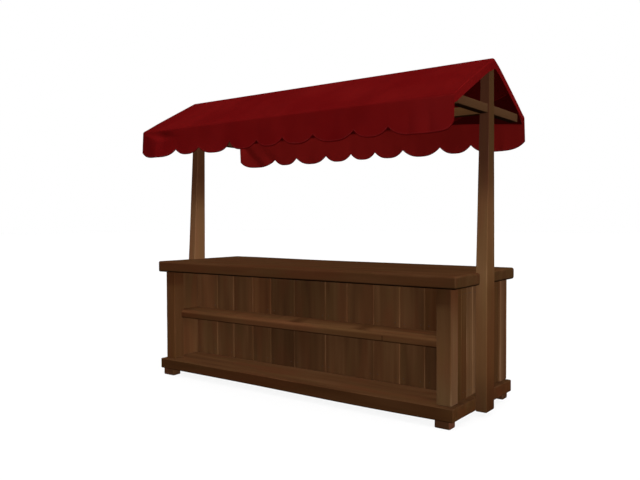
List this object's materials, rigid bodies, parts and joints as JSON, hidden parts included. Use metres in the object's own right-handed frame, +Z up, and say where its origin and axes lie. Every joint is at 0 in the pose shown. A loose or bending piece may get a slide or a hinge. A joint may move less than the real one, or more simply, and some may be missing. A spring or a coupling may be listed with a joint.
{
  "type": "wooden market stall",
  "caption": "Free-standing wooden market stall: a boarded counter with an open shelf side, two end posts and a gabled red canvas canopy with scalloped valances.",
  "frame": {"origin": "on the ground, under the middle of the stall", "axes": "+X along the counter, -Y towards the open shelf side, +Z up"},
  "size_m": [2.812, 1.2, 2.348],
  "materials": {
    "counter_wood": "worn dark stain",
    "board_wood": "worn dark stain",
    "frame_wood": "worn dark stain",
    "canopy_canvas": "matt woven canvas"
  },
  "bodies": {
    "root": {"counter_top": "counter_wood", "base_slab": "counter_wood", "shelf": "counter_wood", "shelf_cleat": "counter_wood", "end_panel_left": "board_wood", "end_panel_right": "board_wood", "back_panel": "board_wood", "inner_panel": "board_wood", "foot_front_left": "frame_wood", "foot_front_right": "frame_wood", "foot_back_left": "frame_wood", "foot_back_right": "frame_wood", "corner_post_front_left": "frame_wood", "corner_post_front_right": "frame_wood", "corner_post_back_left": "frame_wood", "corner_post_back_right": "frame_wood", "tall_post_left": "frame_wood", "tall_post_right": "frame_wood", "tie_beam_left": "frame_wood", "tie_beam_right": "frame_wood", "centre_rail": "frame_wood", "ridge_rail": "frame_wood", "canopy": "canopy_canvas"}
  },
  "joints": []
}
